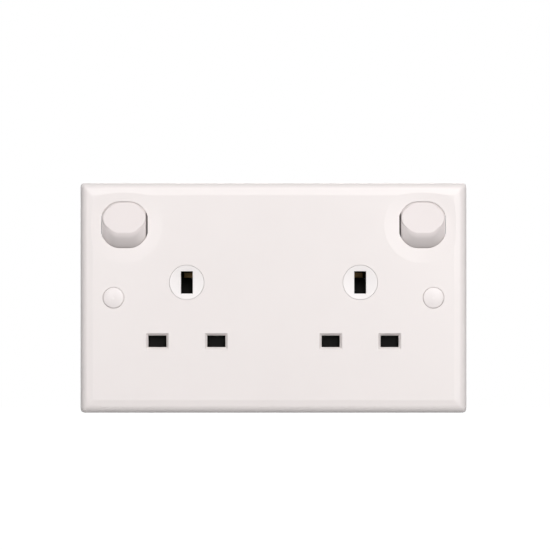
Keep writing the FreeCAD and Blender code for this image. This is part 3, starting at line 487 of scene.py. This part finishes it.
stage = dict(floorDrop=0.26, floorReach=5.0, floorColour=(0.3, 0.3, 0.3),
             liftStart=0.35, liftEnd=1.1, liftNear=0.86, liftFar=1.0,
             skyTop=0.14, skySide=0.05, skyLow=0.01, skyTint=(0.93, 1.0, 1.07))
lamps = dict(
    left=dict(place=(-0.33, -1.20, 0.22), size=(0.16, 0.7), power=2.9),
    right=dict(place=(0.37, -1.16, 0.33), size=(0.3, 1.0), power=6.5),
    top=dict(place=(0.10, -1.04, 0.74), size=(1.1, 0.7), power=7.3),
    back=dict(place=(0.15, 1.3, 0.5), size=(1.2, 0.9), power=13.0),
)
camera = dict(distance=0.803, lens=138.0, sensor=36.0, image=550, centre=(273.5, 297.8))


def seenRay(material):
    # 1 for rays that show the background: straight to the camera, mirrored or through glass
    path = addNode(material, "LightPath")
    total = path.outputs["Is Camera Ray"]
    for kind in ("Is Glossy Ray", "Is Transmission Ray"):
        total = mathOf(material, "MAXIMUM", total, path.outputs[kind])
    return total


def floorFinish():
    # pale floor that keeps a shadow near the piece and is lifted to white farther off, for rays that show it
    material = bpy.data.materials.new("floor_pale")
    material.use_nodes = True
    material.node_tree.nodes.clear()
    matt = addNode(material, "BsdfDiffuse", Color=(*stage["floorColour"], 1))
    glow = addNode(material, "Emission", Color=(1, 1, 1, 1))
    away = mathOf(material, "LENGTH", placeOn(material), kind="VectorMath")
    rise = rangeOf(material, away, stage["liftStart"], stage["liftEnd"], stage["liftNear"], stage["liftFar"])
    feed(material, mathOf(material, "MULTIPLY", seenRay(material), rise), glow.inputs["Strength"])
    both = addNode(material, "AddShader")
    feed(material, matt.outputs[0], both.inputs[0])
    feed(material, glow.outputs[0], both.inputs[1])
    feed(material, both.outputs[0], addNode(material, "OutputMaterial").inputs["Surface"])
    return material


def makeFloor():
    # a flat sheet below the plate
    across = np.linspace(-stage["floorReach"], stage["floorReach"], 3)
    x, y = np.meshgrid(across, across)
    level = np.full_like(x, cadBox[0][2] - stage["floorDrop"])
    mesh = gridMesh("floor", np.stack([x, y, level], axis=-1))
    mesh.materials.append(floorFinish())
    floor = bpy.data.objects.new("floor", mesh)
    scene.collection.objects.link(floor)


def makeWorld():
    # white to the eye; for soft light, a sky that fades from above to below
    world = bpy.data.worlds.new("studio")
    scene.world = world
    world.use_nodes = True
    world.node_tree.nodes.clear()
    parts = addNode(world, "SeparateXYZ")
    feed(world, addNode(world, "TexCoord").outputs["Generated"], parts.inputs[0])
    ramp = addNode(world, "ValToRGB")
    feed(world, rangeOf(world, parts.outputs["Z"], -1.0, 1.0), ramp.inputs["Fac"])
    stops = ramp.color_ramp.elements
    stops.new(0.5)
    for stop, level in zip(stops, ("skyLow", "skySide", "skyTop")):
        stop.color = (*tinted(stage["skyTint"], stage[level]), 1)
    soft = addNode(world, "Background")
    feed(world, ramp.outputs["Color"], soft.inputs["Color"])
    white = addNode(world, "Background", Color=(1, 1, 1, 1))
    choice = addNode(world, "MixShader")
    feed(world, seenRay(world), choice.inputs["Fac"])
    feed(world, soft.outputs[0], choice.inputs[1])
    feed(world, white.outputs[0], choice.inputs[2])
    feed(world, choice.outputs[0], addNode(world, "OutputWorld").inputs["Surface"])


def makeLamp(name, look):
    # a softbox that faces the middle of the plate
    lamp = bpy.data.lights.new(name, "AREA")
    lamp.shape = "RECTANGLE"
    lamp.size, lamp.size_y = look["size"]
    lamp.energy = look["power"]
    thing = bpy.data.objects.new(name, lamp)
    thing.location = look["place"]
    thing.rotation_euler = (-thing.location).to_track_quat("-Z", "Y").to_euler()
    scene.collection.objects.link(thing)


def makeCamera():
    # straight in front; the shift puts the plate's middle on its pixel of the picture
    lens = bpy.data.cameras.new("camera")
    lens.lens = camera["lens"]
    lens.sensor_width = camera["sensor"]
    lens.shift_x = 0.5 - camera["centre"][0] / camera["image"]
    lens.shift_y = camera["centre"][1] / camera["image"] - 0.5
    thing = bpy.data.objects.new("camera", lens)
    thing.location = (0, -camera["distance"], 0)
    thing.rotation_euler = (math.pi / 2, 0, 0)
    scene.collection.objects.link(thing)
    scene.camera = thing


makeFloor()
makeWorld()
for name, look in lamps.items():
    makeLamp(name, look)
makeCamera()
scene.view_settings.view_transform = "Standard"
print("stage set")
